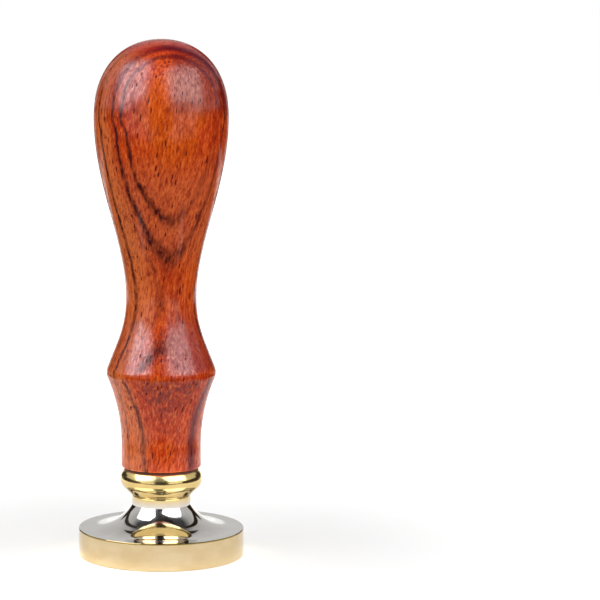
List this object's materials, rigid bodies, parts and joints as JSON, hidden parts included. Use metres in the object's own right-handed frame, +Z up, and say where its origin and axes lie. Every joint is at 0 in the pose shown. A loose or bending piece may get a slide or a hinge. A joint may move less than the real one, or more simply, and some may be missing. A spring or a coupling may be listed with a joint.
{
  "type": "wax seal stamp",
  "caption": "Hand stamp for wax seals: a turned wooden handle with a bulb grip, screwed onto a brass head with an engraved round die face.",
  "frame": {"origin": "middle of the die face, on the surface that the stamp stands on", "axes": "+Z up along the handle's axis, +X and +Y across the round die face"},
  "size_m": [0.03, 0.03, 0.0931],
  "materials": {
    "head_brass": "polished",
    "stud_steel": "machined",
    "washer_rubber": "matte",
    "insert_brass": "machined",
    "handle_wood": "gloss lacquer"
  },
  "bodies": {
    "head": {"stamp_head": "head_brass", "head_stud": "stud_steel"},
    "washer": {"seat_washer": "washer_rubber"},
    "handle": {"wooden_handle": "handle_wood", "threaded_insert": "insert_brass"}
  },
  "joints": [
    {"name": "handle_turn", "type": "hinge", "parent": "head", "child": "washer", "pos_m": [0, 0, 0.0156], "axis": [0, 0, 1], "range_deg": [0, 3600]},
    {"name": "handle_lift", "type": "slide", "parent": "washer", "child": "handle", "axis": [0, 0, 1], "range_m": [0, 0.01]}
  ],
  "couplings": [
    {"joint": "handle_turn", "follows": "handle_lift", "rad_per_m": 6283.2}
  ]
}
